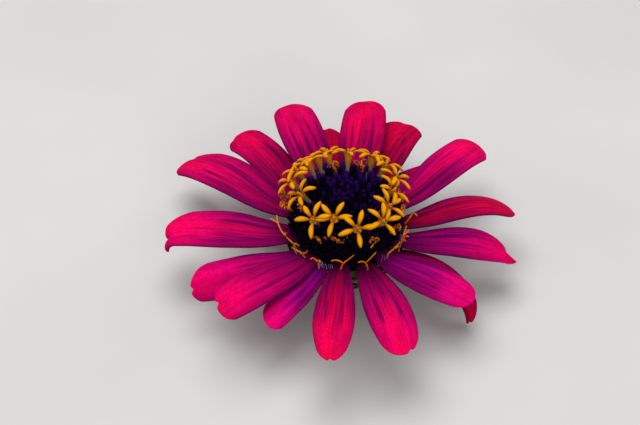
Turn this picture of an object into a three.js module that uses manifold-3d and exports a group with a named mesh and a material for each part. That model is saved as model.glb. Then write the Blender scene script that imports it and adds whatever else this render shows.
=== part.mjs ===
// A zinnia bloom, picked just under the head, in millimetres with +Z up.
// It stands on the flat cut of its short neck. Rays spread from a groove between the bract
// cup and the domed disc, and a ring of open disc florets stands on the shoulder of the disc.
import * as THREE from "three";
import { mergeVertices } from "three/addons/utils/BufferGeometryUtils.js";
import Module from "manifold-3d";

const wasm = await Module();
wasm.setup();

const SEATING_GAP = 0.3; // clear air between two pieces that touch in life

// Neck and bract cup
const NECK_RADIUS = 3.9;
const NECK_HEIGHT = 3.2;
const CUP_RADIUS = 10.6;
const CUP_HEIGHT = 12;
const BRACT_ROWS = [
  { count: 8, foot: 3.2, reach: 3.4, width: 4.4 },
  { count: 10, foot: 4.9, reach: 3.6, width: 5.2 },
  { count: 12, foot: 6.7, reach: 3.6, width: 5.8 },
  { count: 16, foot: 8.8, reach: 2.8, width: 5.0 },
];
const BRACT_THICKNESS = 0.8;

// Disc: the dark dome of scales
const GROOVE_RADIUS = 9.5; // the wall that the ray roots face
const DISC_FLOOR = CUP_HEIGHT + SEATING_GAP;
const DISC_BRIM = 16.1; // underside of the scales that hang over the ray roots
const DISC_RADIUS = 11;
const DISC_TOP = 22.2;
const SCALE_COLUMNS = 36;
const SCALE_RELIEF = 0.4;

// Rays: the pink blades. Angles in degrees, anticlockwise from +X seen from above.
const RAY_ROOT_RADIUS = GROOVE_RADIUS + SEATING_GAP;
const RAY_LAYER_HEIGHTS = [15.1, 14.1, 13.25];
const RAY_THICKNESS = 0.6;
const RAY_CLAW = 0.36; // width of the root as a share of the full width
const RAY_SHOULDER = 0.68; // where along the blade it is widest
const NOTCH = { depth: 0.6, at: 0.1, width: 0.1 };
const RAY_ROWS = 9;
const RAY_COLUMNS = [-1, -0.7, -0.3, 0.1, 0.45, 0.75, 1];
const STEPS_PER_ROW = 4;
const TYPICAL_RAY = {
  length: 26, width: 8.4, // mm
  rise: 8, droop: 16, // slope at the root, and how far it has fallen by the tip
  turn: 0, bend: 0, twist: 0, // sideways turn near the root, over the length, roll at the tip
  blunt: 0.85, skew: 0, camber: 0.9, // tip width as a share, tip slant in mm, arch across
  curl: 0, crease: 0.82, // degrees that the left half of the tip folds down, and from where
  layer: 0, // which layer it grows in, from the top
};
// Each ray as it grew: where it sits round the disc and how it differs from the typical one.
const RAYS = [
  { seat: 111, length: 29, width: 9.2, rise: 16, droop: 38, turn: -2, bend: -9, twist: -3, blunt: 0.9,
    camber: 0.5 },
  { seat: 97, length: 20.8, width: 9, rise: 5, droop: 12, blunt: 0.8, layer: 1 },
  { seat: 81, length: 26.3, width: 9.5, rise: 16, droop: 27, bend: 6.5, twist: -5, blunt: 0.91,
    camber: 0.6 },
  { seat: 67, length: 26, width: 9.2, rise: 8, droop: 25, turn: 5.5, bend: -11.5, twist: 2, blunt: 0.95,
    skew: -0.5, camber: 0.5, layer: 1 },
  { seat: 31, length: 31.4, width: 7.8, rise: 10.5, droop: 42, turn: 20, bend: 3.5, twist: 17,
    blunt: 0.95, skew: -0.8, camber: 0.6 },
  { seat: 5, length: 29, width: 6.9, rise: 11, droop: 59, turn: 24, bend: -13, twist: -7, blunt: 0.95,
    skew: 0.3, camber: 0.4 },
  { seat: -14, length: 28, width: 7.4, droop: 60, turn: 19, bend: 4, twist: 19, blunt: 0.76, skew: 0.6,
    camber: 0.4, curl: 47, crease: 0.79, layer: 1 },
  { seat: -46, length: 21.2, width: 8.6, rise: 2, droop: 26, turn: 22, bend: 1, twist: 3 },
  { seat: -69, length: 25.4, width: 8.9, rise: 5.5, droop: 7, turn: -1.5, bend: -11.5, twist: 7,
    blunt: 0.82, camber: 0.7, layer: 1 },
  { seat: -96, length: 27.5, width: 8.1, rise: 6, droop: 1, bend: 3.5, twist: 5, blunt: 0.76, skew: 0.4,
    camber: 1.4 },
  { seat: -117, length: 18.4, width: 6.7, rise: 1, droop: 17.5, turn: -13, bend: -1, twist: -5,
    blunt: 0.88, skew: 1, camber: 0.65, layer: 1 },
  { seat: -130, length: 25.3, width: 8.1, rise: 9, droop: 5, turn: -15, bend: 18, twist: -28,
    blunt: 0.87, skew: 1, camber: 1.2 },
  { seat: -144, length: 24, rise: -0.5, droop: 4.5, turn: -17, bend: -10.5, twist: -34, blunt: 0.9,
    skew: 1.3, camber: 1.4, layer: 1 },
  { seat: -171, length: 27.4, width: 10.3, rise: 5, droop: 23.5, turn: -20.5, bend: 1.5, twist: 2,
    blunt: 0.97, skew: 2.2, camber: 0.4, curl: 65, crease: 0.85 },
  { seat: 156, length: 34.6, width: 9.4, rise: 3, droop: 36, turn: -26, bend: 7, twist: -9, blunt: 0.9,
    skew: 3, camber: 0.4 },
  { seat: 133, length: 29.4, width: 7.9, rise: 5.5, droop: 27.5, turn: -18, bend: 17, twist: -12,
    blunt: 0.95, skew: 0.6, camber: 0.4, layer: 1 },
  { seat: -26, length: 24.8, width: 5.5, rise: 4, droop: 94, turn: -4, bend: -12, twist: 95,
    blunt: 0.8, skew: -0.6, camber: 1.8, layer: 2 },
  { seat: 48, length: 18, width: 8, rise: 2, droop: 10, blunt: 0.7, layer: 2 },
];

// The forked style that stands at the foot of each ray
const STYLE = { from: 2.3, stalk: 1.6, branch: 2.2, spread: 1.1, halfWidth: 0.3 };

// Open disc florets, and the spent ones below and behind them
const FLORET_LEAN = 35; // degrees that each leans outward
const FLORETS = [
  { seat: -131, radius: 9.8, height: 24.6 },
  { seat: -107, radius: 8.7, height: 24.9 },
  { seat: -78, radius: 10.1, height: 24.6 },
  { seat: -48, radius: 10.5, height: 24.6 },
  { seat: -25, radius: 9.2, height: 24.8 },
  { seat: 3, radius: 9.3, height: 24.8 },
  { seat: 24, radius: 10.7, height: 24.6 },
  { seat: 43, radius: 10.9, height: 25.1 },
  { seat: 60, radius: 10.9, height: 25.3 },
  { seat: 87, radius: 10.3, height: 25.4 },
  { seat: 109, radius: 10.8, height: 25.4 },
  { seat: 121, radius: 10.8, height: 25.3 },
  { seat: 133, radius: 11, height: 25.3 },
  { seat: 149, radius: 11, height: 25.2 },
  { seat: 165, radius: 10.8, height: 24.9 },
  { seat: 181, radius: 9.5, height: 24.7 },
];
const FLORET_TUBE = { length: 2.9, foot: 0.7, throat: 1.1 };
const LOBE_COUNT = 5;
const STAR = { notch: 1.1, widest: 2.3, reach: 3.6, halfLobe: 0.72, thickness: 0.7 };
const STAR_LIFT = { throat: -0.5, notch: 0, widest: 0.35, tip: -0.5 };
const SPENT_SEATS = [-121, -99, -59, -7, 7, 68, 103, 169, 179, -163];
const SPENT = { foot: 9.5, footHeight: 19.3, lean: 1.1, rise: 1.4, curl: 1.3, splay: 75, halfWidth: 0.42 };

const UP = new THREE.Vector3(0, 0, 1);
const { cos, sin, exp, PI, min } = Math;
const radians = THREE.MathUtils.degToRad;
const smooth = (x, from, to) => THREE.MathUtils.smoothstep(x, from, to);

/** The point at a radius, an angle in degrees and a height. */
function around(radius, degrees, height) {
  const angle = radians(degrees);
  return new THREE.Vector3(radius * cos(angle), radius * sin(angle), height);
}

/** A closed solid from a geometry whose faces point out. */
function solidOf(geometry) {
  const bare = geometry.index ? geometry.toNonIndexed() : geometry.clone();
  bare.deleteAttribute("normal");
  bare.deleteAttribute("uv");
  const merged = mergeVertices(bare, 1e-4);
  const vertProperties = new Float32Array(merged.attributes.position.array);
  const triVerts = new Uint32Array(merged.index.array);
  return new wasm.Manifold(new wasm.Mesh({ numProp: 3, vertProperties, triVerts }));
}

function geometryFrom(points, triangles) {
  const geometry = new THREE.BufferGeometry().setFromPoints(points);
  geometry.setIndex(triangles.flat());
  return geometry;
}

/** A named mesh of one solid. */
function meshOf(name, solid, material) {
  const { vertProperties, triVerts } = solid.getMesh();
  const geometry = new THREE.BufferGeometry();
  geometry.setAttribute("position", new THREE.BufferAttribute(vertProperties, 3));
  geometry.setIndex(new THREE.BufferAttribute(triVerts, 1));
  geometry.computeVertexNormals();
  const mesh = new THREE.Mesh(geometry, material);
  mesh.name = name;
  return mesh;
}

/** A profile of [radius, height] pairs turned about the flower's axis. */
function turned(profile, columns) {
  const points = profile.map(([radius, height]) => new THREE.Vector2(radius, height));
  return new THREE.LatheGeometry(points, columns).rotateX(PI / 2);
}

/**
 * A slender four-sided solid along a path, wide across and thin in depth.
 * `face` is the way its broad side looks. `sizes` gives [half width, height of its ridge] at each
 * point, and the depth of its keel where that differs.
 */
function blade(path, face, sizes) {
  const points = [];
  path.forEach((point, i) => {
    const ahead = path[min(i + 1, path.length - 1)];
    const along = ahead.clone().sub(path[i === 0 ? 0 : i - 1]).normalize();
    const across = new THREE.Vector3().crossVectors(along, face).normalize();
    const out = new THREE.Vector3().crossVectors(across, along);
    const [halfWidth, ridge, keel = ridge] = sizes[i];
    points.push(point.clone().addScaledVector(across, halfWidth));
    points.push(point.clone().addScaledVector(out, ridge));
    points.push(point.clone().addScaledVector(across, -halfWidth));
    points.push(point.clone().addScaledVector(out, -keel));
  });
  const triangles = [[0, 1, 2], [0, 2, 3]];
  for (let i = 0; i + 1 < path.length; i += 1) {
    for (let side = 0; side < 4; side += 1) {
      const a = 4 * i + side;
      const b = 4 * i + ((side + 1) % 4);
      triangles.push([a, a + 4, b + 4], [a, b + 4, b]);
    }
  }
  const last = 4 * (path.length - 1);
  triangles.push([last, last + 2, last + 1], [last, last + 3, last + 2]);
  return solidOf(geometryFrom(points, triangles));
}

const fuse = (solids) => solids.reduce((whole, piece) => whole.add(piece));

// ---- Neck and bract cup ----

const CUP_FLANK = [
  [NECK_RADIUS, 0],
  [NECK_RADIUS - 0.2, 1.2],
  [NECK_RADIUS, NECK_HEIGHT],
  [6.2, 5],
  [8.4, 7.1],
  [9.8, 9.1],
  [CUP_RADIUS, CUP_HEIGHT - 0.4],
];

/** The flank's radius at a height. */
function cupRadiusAt(height) {
  const above = CUP_FLANK.findIndex(([, z]) => z >= height);
  if (above < 1) return above === 0 ? NECK_RADIUS : CUP_RADIUS;
  const [r0, z0] = CUP_FLANK[above - 1];
  const [r1, z1] = CUP_FLANK[above];
  return r0 + ((r1 - r0) * (height - z0)) / (z1 - z0);
}

/** One bract: it lies on the flank with its edges sunk in, and its rounded tip stands off. */
function bract(row, seat) {
  const stations = [
    { share: 0, sunk: 0.8, width: 0.8 },
    { share: 0.7, sunk: 0.6, width: 1 },
    { share: 1, sunk: 0.1, width: 0.45 },
  ];
  const path = stations.map(({ share, sunk }) => {
    const height = row.foot + row.reach * share;
    return around(cupRadiusAt(height) - sunk, seat, height);
  });
  const sizes = stations.map(({ sunk, width }) => [
    (row.width / 2) * width,
    sunk + BRACT_THICKNESS * (0.5 + width / 2),
    BRACT_THICKNESS,
  ]);
  return blade(path, around(1, seat, -0.6).normalize(), sizes);
}

function bractCup() {
  const profile = [[0, 0], ...CUP_FLANK, [CUP_RADIUS - 0.5, CUP_HEIGHT], [0, CUP_HEIGHT]];
  const pieces = [solidOf(turned(profile, 32))];
  BRACT_ROWS.forEach((row, rank) => {
    for (let i = 0; i < row.count; i += 1) {
      const seat = (360 / row.count) * (i + (rank % 2) / 2);
      pieces.push(bract(row, seat));
    }
  });
  return fuse(pieces);
}

// ---- Disc ----

const DISC_FLANK = [
  [DISC_RADIUS - 0.3, DISC_BRIM + 0.2],
  [DISC_RADIUS, 17],
  [DISC_RADIUS - 0.3, 18.4],
  [10, 19.7],
  [8.9, 20.6],
  [7.6, 21.3],
  [6, 21.8],
  [4.2, 22.05],
  [2.2, DISC_TOP],
];

/** The dome, with the tips of its scales standing out in a chequer. */
function scalyDome() {
  const below = [[0, DISC_FLOOR], [GROOVE_RADIUS, DISC_FLOOR], [GROOVE_RADIUS, DISC_BRIM]];
  const geometry = turned([...below, ...DISC_FLANK, [0, DISC_TOP]], SCALE_COLUMNS);
  const rings = below.length + DISC_FLANK.length + 1;
  const position = geometry.attributes.position;
  for (let i = 0; i < position.count; i += 1) {
    const ring = i % rings;
    const column = Math.floor(i / rings);
    const onFlank = ring >= below.length && ring < rings - 1;
    if (onFlank && (ring + column) % 2 === 0) {
      const point = new THREE.Vector3().fromBufferAttribute(position, i);
      const outward = point.clone().sub(new THREE.Vector3(0, 0, DISC_BRIM - 2)).normalize();
      point.addScaledVector(outward, SCALE_RELIEF);
      position.setXYZ(i, point.x, point.y, point.z);
    }
  }
  return solidOf(geometry);
}

/** A spent floret: a stub that leans out of the dome and ends in curled lobes. */
function spentFloret(seat) {
  const foot = around(SPENT.foot, seat, SPENT.footHeight);
  const throat = around(SPENT.foot + SPENT.lean, seat, SPENT.footHeight + SPENT.rise);
  const half = SPENT.halfWidth;
  const lobe = (side) => {
    const way = around(1, seat + side * SPENT.splay, 0);
    const crest = throat.clone().addScaledVector(way, SPENT.curl * 0.7).addScaledVector(UP, 0.5);
    const tip = throat.clone().addScaledVector(way, SPENT.curl).addScaledVector(UP, -0.5);
    return [crest, tip];
  };
  const sizes = [1, 1.2, 1, 0.7].map((share) => [half * share, half * share]);
  const stem = blade([foot, throat, ...lobe(0)], around(1, seat, 1).normalize(), sizes);
  const sideSizes = [0.7, 1, 1.2, 1, 0.7].map((share) => [half * share, half * share]);
  const sides = blade([...lobe(-1).reverse(), throat, ...lobe(1)], UP, sideSizes);
  return stem.add(sides);
}

const disc = () => fuse([scalyDome(), ...SPENT_SEATS.map(spentFloret)]);

// ---- Open disc florets ----

/** The five-lobed star of a floret, arched and recurved, about a throat. */
function star(throat, axis, start) {
  const { notch, widest, reach, halfLobe, thickness } = STAR;
  const sideways = new THREE.Vector3().crossVectors(axis, start);
  const at = (angle, out, side, lift) => {
    const way = start.clone().multiplyScalar(cos(angle)).addScaledVector(sideways, sin(angle));
    const left = sideways.clone().multiplyScalar(cos(angle)).addScaledVector(start, -sin(angle));
    const point = throat.clone().addScaledVector(way, out).addScaledVector(left, side);
    return point.addScaledVector(axis, lift);
  };
  const upper = [throat.clone().addScaledVector(axis, STAR_LIFT.throat)];
  const triangles = [];
  const count = 4 * LOBE_COUNT;
  const total = count + 1;
  for (let i = 0; i < LOBE_COUNT; i += 1) {
    const angle = ((2 * PI) / LOBE_COUNT) * i;
    upper.push(at(angle, notch, 0, STAR_LIFT.notch));
    const middle = angle + PI / LOBE_COUNT;
    upper.push(at(middle, widest, -halfLobe, STAR_LIFT.widest));
    upper.push(at(middle, reach, 0, STAR_LIFT.tip));
    upper.push(at(middle, widest, halfLobe, STAR_LIFT.widest));
    const [right, near, tip, far] = [1, 2, 3, 4].map((k) => 4 * i + k);
    const next = (far % count) + 1;
    for (const [p, q, r] of [[0, right, near], [0, near, far], [near, tip, far], [0, far, next]]) {
      triangles.push([p, q, r], [total + p, total + r, total + q]);
    }
  }
  for (let k = 1; k <= count; k += 1) {
    const next = (k % count) + 1;
    triangles.push([k, total + k, total + next], [k, total + next, next]);
  }
  const lower = upper.map((point) => point.clone().addScaledVector(axis, -thickness));
  return solidOf(geometryFrom([...upper, ...lower], triangles));
}

/** One open floret: a tube that leans outward, with its star on top. */
function openFloret({ seat, radius, height }) {
  const throat = around(radius, seat, height);
  const outward = around(1, seat, 0);
  const lean = radians(FLORET_LEAN);
  const axis = UP.clone().multiplyScalar(cos(lean)).addScaledVector(outward, sin(lean));
  const foot = throat.clone().addScaledVector(axis, -FLORET_TUBE.length);
  const sizes = [FLORET_TUBE.foot, FLORET_TUBE.throat].map((half) => [half, half]);
  const tubeTop = throat.clone().addScaledVector(axis, STAR_LIFT.throat - STAR.thickness / 2);
  const start = outward.clone().addScaledVector(axis, -outward.dot(axis)).normalize();
  return blade([foot, tubeTop], outward, sizes).add(star(throat, axis, start));
}

const floretRing = () => fuse(FLORETS.map(openFloret));

// ---- Rays ----

/** Half the blade's width at u, the share of the way from root to tip. */
function halfWidthAt(ray, u) {
  const growing = RAY_CLAW + (1 - RAY_CLAW) * sin((PI / 2) * min(1, u / RAY_SHOULDER)) ** 0.9;
  const past = Math.max(0, (u - RAY_SHOULDER) / (1 - RAY_SHOULDER));
  return (ray.width / 2) * (growing - (1 - ray.blunt) * past * past);
}

/** How far the blade reaches along the strip at v, from -1 at its right edge to 1 at its left. */
function reachAt(ray, v) {
  const rounding = (0.03 + 0.42 * (1 - ray.blunt)) * v * v + 0.045 * v ** 6;
  const notch = NOTCH.depth * exp(-(((v - NOTCH.at) / NOTCH.width) ** 2));
  return ray.length * (1 - rounding) + ray.skew * v - notch;
}

/** The points of one strip of the upper face, walked from the root to the tip. */
function strip(ray, v) {
  const reach = reachAt(ray, v);
  const steps = RAY_ROWS * STEPS_PER_ROW;
  const fold = ray.curl * smooth(v, -0.2, 0.5);
  const slopeAt = (u) => {
    const t = (u * reach) / ray.length;
    return radians(ray.rise - ray.droop * t ** 1.5 - fold * smooth(u, ray.crease, 1));
  };
  const headingAt = (u) => {
    const t = (u * reach) / ray.length;
    return radians(ray.seat + ray.turn * smooth(t, 0, 0.4) + ray.bend * t * t);
  };
  const centre = around(RAY_ROOT_RADIUS, ray.seat, RAY_LAYER_HEIGHTS[ray.layer]);
  const points = [];
  for (let step = 0; step <= steps; step += 1) {
    const u = step / steps;
    const t = (u * reach) / ray.length;
    if (step % STEPS_PER_ROW === 0) {
      const roll = radians(ray.twist) * t;
      const out = v * halfWidthAt(ray, u);
      const arch = -ray.camber * v * v * min(1, 0.3 + t);
      const side = out * cos(roll) - arch * sin(roll);
      const lift = out * sin(roll) + arch * cos(roll);
      const [slope, heading] = [slopeAt(u), headingAt(u)];
      const left = new THREE.Vector3(-sin(heading), cos(heading), 0);
      const up = new THREE.Vector3(-sin(slope) * cos(heading), -sin(slope) * sin(heading), cos(slope));
      points.push(centre.clone().addScaledVector(left, side).addScaledVector(up, lift));
    }
    const [slope, heading] = [slopeAt(u + 0.5 / steps), headingAt(u + 0.5 / steps)];
    const ahead = new THREE.Vector3(cos(slope) * cos(heading), cos(slope) * sin(heading), sin(slope));
    centre.addScaledVector(ahead, reach / steps);
  }
  return points;
}

/** The blade's solid: its upper face, the same face a thickness below, and the rim between. */
function rayBlade(ray) {
  const strips = RAY_COLUMNS.map((v) => strip(ray, v));
  const [rows, columns] = [RAY_ROWS, RAY_COLUMNS.length - 1];
  const upper = [];
  const lower = [];
  for (let i = 0; i <= rows; i += 1) {
    for (let j = 0; j <= columns; j += 1) {
      const ahead = strips[j][min(i + 1, rows)].clone().sub(strips[j][Math.max(i - 1, 0)]);
      const left = strips[min(j + 1, columns)][i].clone().sub(strips[Math.max(j - 1, 0)][i]);
      const normal = ahead.cross(left).normalize();
      upper.push(strips[j][i]);
      lower.push(strips[j][i].clone().addScaledVector(normal, -RAY_THICKNESS));
    }
  }
  const total = upper.length;
  const at = (i, j) => i * (columns + 1) + j;
  const triangles = [];
  for (let i = 0; i < rows; i += 1) {
    for (let j = 0; j < columns; j += 1) {
      const [a, b, c, d] = [at(i, j), at(i + 1, j), at(i + 1, j + 1), at(i, j + 1)];
      triangles.push([a, b, c], [a, c, d]);
      triangles.push([total + a, total + c, total + b], [total + a, total + d, total + c]);
    }
  }
  const rim = [];
  for (let i = 0; i < rows; i += 1) rim.push(at(i, 0));
  for (let j = 0; j < columns; j += 1) rim.push(at(rows, j));
  for (let i = rows; i > 0; i -= 1) rim.push(at(i, columns));
  for (let j = columns; j > 0; j -= 1) rim.push(at(0, j));
  rim.forEach((p, k) => {
    const q = rim[(k + 1) % rim.length];
    triangles.push([p, total + p, total + q], [p, total + q, q]);
  });
  return solidOf(geometryFrom([...upper, ...lower], triangles));
}

/** The forked style: a stalk out of the blade's foot and two branches that curl away. */
function forkedStyle(ray) {
  const height = RAY_LAYER_HEIGHTS[ray.layer] + STYLE.from * Math.tan(radians(ray.rise)) - 0.25;
  const foot = around(RAY_ROOT_RADIUS + STYLE.from, ray.seat, height);
  const outward = around(1, ray.seat, 0);
  const left = around(1, ray.seat + 90, 0);
  const spread = STYLE.spread / (1 + 2 * ray.layer); // the lower ones are squeezed by their neighbours
  const fork = around(RAY_ROOT_RADIUS + STYLE.from + 0.2, ray.seat, RAY_LAYER_HEIGHTS[0] + STYLE.stalk);
  const branchTo = (side) => {
    const crest = fork.clone().addScaledVector(left, side * spread);
    crest.addScaledVector(UP, STYLE.branch * 0.45).addScaledVector(outward, 0.2);
    const tip = crest.clone().addScaledVector(UP, STYLE.branch * 0.4).addScaledVector(outward, 0.5);
    return [crest, tip];
  };
  const thickness = [1, 1, 0.9, 0.7].map((share) => Array(2).fill(STYLE.halfWidth * share));
  const main = blade([foot, fork, ...branchTo(1)], outward, thickness);
  return main.add(blade([fork, ...branchTo(-1)], outward, thickness.slice(1)));
}

function rayFloret(shape) {
  const ray = { ...TYPICAL_RAY, ...shape };
  return rayBlade(ray).add(forkedStyle(ray));
}

// ---- The bloom ----

const leafGreen = new THREE.MeshStandardMaterial({ color: "#5c7a3a", roughness: 0.7, metalness: 0 });
const rayPink = new THREE.MeshStandardMaterial({ color: "#dd0a78", roughness: 0.6, metalness: 0 });
const discPurple = new THREE.MeshStandardMaterial({ color: "#1d0a2c", roughness: 0.7, metalness: 0 });
const floretYellow = new THREE.MeshStandardMaterial({ color: "#eead0e", roughness: 0.6, metalness: 0 });

const bloom = new THREE.Group();
bloom.add(meshOf("bract_cup", bractCup(), leafGreen));
bloom.add(meshOf("disc", disc(), discPurple));
bloom.add(meshOf("open_florets", floretRing(), floretYellow));
RAYS.forEach((shape, i) => {
  const number = String(i + 1).padStart(2, "0");
  bloom.add(meshOf(`ray_floret_${number}`, rayFloret(shape), rayPink));
});

// The origin is the middle of the bloom's box, on the surface that the neck stands on.
const box = new THREE.Box3().setFromObject(bloom);
const middle = box.getCenter(new THREE.Vector3());
bloom.position.set(-middle.x, -middle.y, -box.min.z);

export default bloom;
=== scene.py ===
# %% [markdown]
# # A zinnia bloom, picked just under its head
# The imported model is the frame: its neck and bract cup, its dark disc, its ring of open
# florets and its eighteen rays. Each is replaced here by a finer piece of the same form. The
# script first loads the frame and keeps its parts.

# %% Load the frame
import math
import random

import bmesh
import bpy
from mathutils import Matrix, Vector


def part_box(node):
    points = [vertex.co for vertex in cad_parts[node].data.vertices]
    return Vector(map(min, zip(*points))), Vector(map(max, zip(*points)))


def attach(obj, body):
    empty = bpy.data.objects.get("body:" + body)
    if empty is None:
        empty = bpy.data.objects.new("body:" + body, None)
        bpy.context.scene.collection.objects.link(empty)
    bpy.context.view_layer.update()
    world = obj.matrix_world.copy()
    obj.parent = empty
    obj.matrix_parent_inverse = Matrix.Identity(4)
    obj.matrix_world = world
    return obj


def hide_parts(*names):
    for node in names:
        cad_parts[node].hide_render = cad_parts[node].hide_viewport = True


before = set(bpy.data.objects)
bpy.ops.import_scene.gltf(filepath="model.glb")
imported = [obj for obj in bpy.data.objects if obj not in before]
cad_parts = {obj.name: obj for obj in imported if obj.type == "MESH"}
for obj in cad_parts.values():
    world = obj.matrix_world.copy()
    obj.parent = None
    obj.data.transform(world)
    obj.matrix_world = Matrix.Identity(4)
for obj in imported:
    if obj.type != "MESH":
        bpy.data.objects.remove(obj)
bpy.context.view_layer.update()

# %% [markdown]
# ## Where everything is measured from
# A flower head is built round its stalk, so every place here is a distance from the flower's
# axis, an angle round it and a height. The bract cup has the same bracts on both sides, which
# makes the middle of its box the axis. Shapes are worked out in millimetres and settled into
# the frame, in metres, when they are finished.

# %% Axis and units
MM = 0.001
cup_low, cup_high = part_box("bract_cup")
AXIS = Vector(((cup_low.x + cup_high.x) / 2, (cup_low.y + cup_high.y) / 2, 0))
UP = Vector((0, 0, 1))
print("axis at", [round(v / MM, 3) for v in AXIS], "mm")


def around(radius, degrees, height):
    """A point in millimetres from its distance to the axis, its angle and its height."""
    angle = math.radians(degrees)
    return Vector((radius * math.cos(angle), radius * math.sin(angle), height))


def smooth(x, start, end):
    """0 before start, 1 after end, and an even swell between them."""
    share = min(1, max(0, (x - start) / (end - start)))
    return share * share * (3 - 2 * share)


def profile_at(profile, height):
    """The radius of a [radius, height] profile at a height."""
    for (r0, z0), (r1, z1) in zip(profile, profile[1:]):
        if height <= z1:
            return r0 + (r1 - r0) * max(0, height - z0) / (z1 - z0)
    return profile[-1][0]


# %% [markdown]
# ## Modelling helpers
# Most of a flower is thin sheets: petals, bracts and scales. Each starts as a grid whose
# points are laid where a rule says, with `s` across it and `t` along it. The grid's own UV map
# stays on the sheet, so that veins, streaks and painted shade can follow the petal later.

# %% Start and shape a piece
def deselect():
    bpy.ops.object.select_all(action="DESELECT")


def activate(piece):
    deselect()
    piece.select_set(True)
    bpy.context.view_layer.objects.active = piece


def added(name):
    """The primitive that was just added, named."""
    piece = bpy.context.object
    piece.name = name
    return piece


def modify(piece, kind, **settings):
    """Adds a modifier with its settings and applies it."""
    modifier = piece.modifiers.new(kind, kind)
    for setting, value in settings.items():
        setattr(modifier, setting, value)
    activate(piece)
    bpy.ops.object.modifier_apply(modifier=modifier.name)


def sheet(name, columns, rows, rule):
    """A grid laid by a rule of s, -1 to 1 from its right to its left edge, and t, 0 to 1."""
    deselect()
    bpy.ops.mesh.primitive_grid_add(x_subdivisions=columns, y_subdivisions=rows, size=2)
    piece = added(name)
    for vertex in piece.data.vertices:
        vertex.co = rule(-vertex.co.x, (vertex.co.y + 1) / 2)
    return piece


# %% [markdown]
# What repeats is modelled once and copied. A finished piece is joined from its parts and
# settled: it goes to its place in the frame, on its body and in place of its CAD node.

# %% Copy, join and settle
SMOOTH_ANGLE = 50


def copy_of(piece, place):
    """A copy with its own mesh, put in its place by a matrix."""
    twin = piece.copy()
    twin.data = piece.data.copy()
    twin.data.transform(place)
    bpy.context.collection.objects.link(twin)
    return twin


def standing(point, axis, front):
    """The matrix that stands a piece on a point, its Z along an axis and its X to the front."""
    side = axis.cross(front).normalized()
    turn = Matrix((side.cross(axis), side, axis)).transposed().to_4x4()
    return Matrix.Translation(point) @ turn


def joined(name, parts):
    deselect()
    for part in parts:
        part.select_set(True)
    bpy.context.view_layer.objects.active = parts[0]
    bpy.ops.object.join()
    return added(name)


def settle(piece, slot, *nodes):
    """Puts a finished piece in the frame, in metres, on its body and in place of its node."""
    piece.data.transform(Matrix.Translation(AXIS) @ Matrix.Scale(MM, 4))
    activate(piece)
    bpy.ops.object.shade_smooth_by_angle(angle=math.radians(SMOOTH_ANGLE))
    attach(piece, "root")
    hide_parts(*nodes)
    print(piece.name, len(piece.data.polygons), "faces")
    return piece


# the last number, depth, is painted shade or light: how much darker or lighter a whole petal is
# drawn, as the light falls on it and as other petals shade it
HABIT = ("redness", "furrow_end", "purple_base", "depth")


def habit(piece, *values):
    """Numbers that a material reads all over a piece, so that no two need look alike."""
    for name, value in zip(HABIT, values):
        numbers = piece.data.attributes.new(name, "FLOAT", "POINT")
        numbers.data.foreach_set("value", [value] * len(numbers.data))


# %% [markdown]
# Two more ways of making a form. A round body is a disc that is extruded upward and scaled at
# each step of a profile, which keeps its rings level. Threads, such as styles and hairs, are
# curves with a round bevel that are turned into a mesh together.

# %% Round bodies and threads
def raised(name, profile, sides):
    """A round body: a disc extruded up and scaled at each [radius, height] of its profile."""
    deselect()
    radius, height = profile[0]
    bpy.ops.mesh.primitive_circle_add(
        vertices=sides, radius=radius, fill_type="NGON", location=(0, 0, height)
    )
    piece = added(name)
    bpy.ops.object.transform_apply()
    bpy.ops.object.mode_set(mode="EDIT")
    bpy.ops.mesh.select_all(action="SELECT")
    for (r0, z0), (r1, z1) in zip(profile, profile[1:]):
        bpy.ops.mesh.extrude_region_move(TRANSFORM_OT_translate={"value": (0, 0, z1 - z0)})
        bpy.ops.transform.resize(value=(r1 / r0, r1 / r0, 1), center_override=(0, 0, z1))
    bpy.ops.mesh.select_all(action="SELECT")
    bpy.ops.mesh.normals_make_consistent(inside=False)
    bpy.ops.object.mode_set(mode="OBJECT")
    return piece


def threads(name, paths, material, roundness=1):
    """Round threads. A path is a list of (point, thickness), and thickness tapers between."""
    curve = bpy.data.curves.new(name, "CURVE")
    curve.dimensions = "3D"
    curve.bevel_depth = 0.5  # so that a knot's radius is the thread's thickness there
    curve.bevel_resolution = roundness
    curve.use_fill_caps = True
    curve.resolution_u = 4
    for path in paths:
        spline = curve.splines.new("NURBS")
        spline.points.add(len(path) - 1)
        spline.order_u = 3
        spline.use_endpoint_u = True
        for knot, (point, thickness) in zip(spline.points, path):
            knot.co = (*point, 1)
            knot.radius = thickness
    piece = bpy.data.objects.new(name, curve)
    bpy.context.collection.objects.link(piece)
    activate(piece)
    bpy.ops.object.convert(target="MESH")
    piece = added(name)
    piece.data.materials.clear()
    piece.data.materials.append(material)
    return piece


# %% [markdown]
# ## Colours and nodes
# The colours are written as they look on a screen and turned to the linear values that a
# renderer works in. One function adds any node, with its settings, its stops if it is a ramp,
# and its links.

# %% Colour and node helpers
def linear(code):
    """An sRGB hex colour as linear RGBA."""
    shares = [int(code[i : i + 2], 16) / 255 for i in (1, 3, 5)]
    return (*[c / 12.92 if c <= 0.04045 else ((c + 0.055) / 1.055) ** 2.4 for c in shares], 1)


def add(tree, kind, inputs=None, stops=(), **settings):
    """Adds a node. Its inputs are given by name or number, as a value or as another's output."""
    node = tree.nodes.new("ShaderNode" + kind)
    for setting, value in settings.items():
        setattr(node, setting, value)
    for socket, value in (inputs or {}).items():
        if isinstance(value, bpy.types.NodeSocket):
            tree.links.new(value, node.inputs[socket])
        else:
            node.inputs[socket].default_value = value
    if stops:
        ramp = node.color_ramp.elements
        while len(ramp) < len(stops):
            ramp.new(1)
        for stop, (place, code) in zip(ramp, stops):
            stop.position = place
            stop.color = linear(code)
    return node


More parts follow.
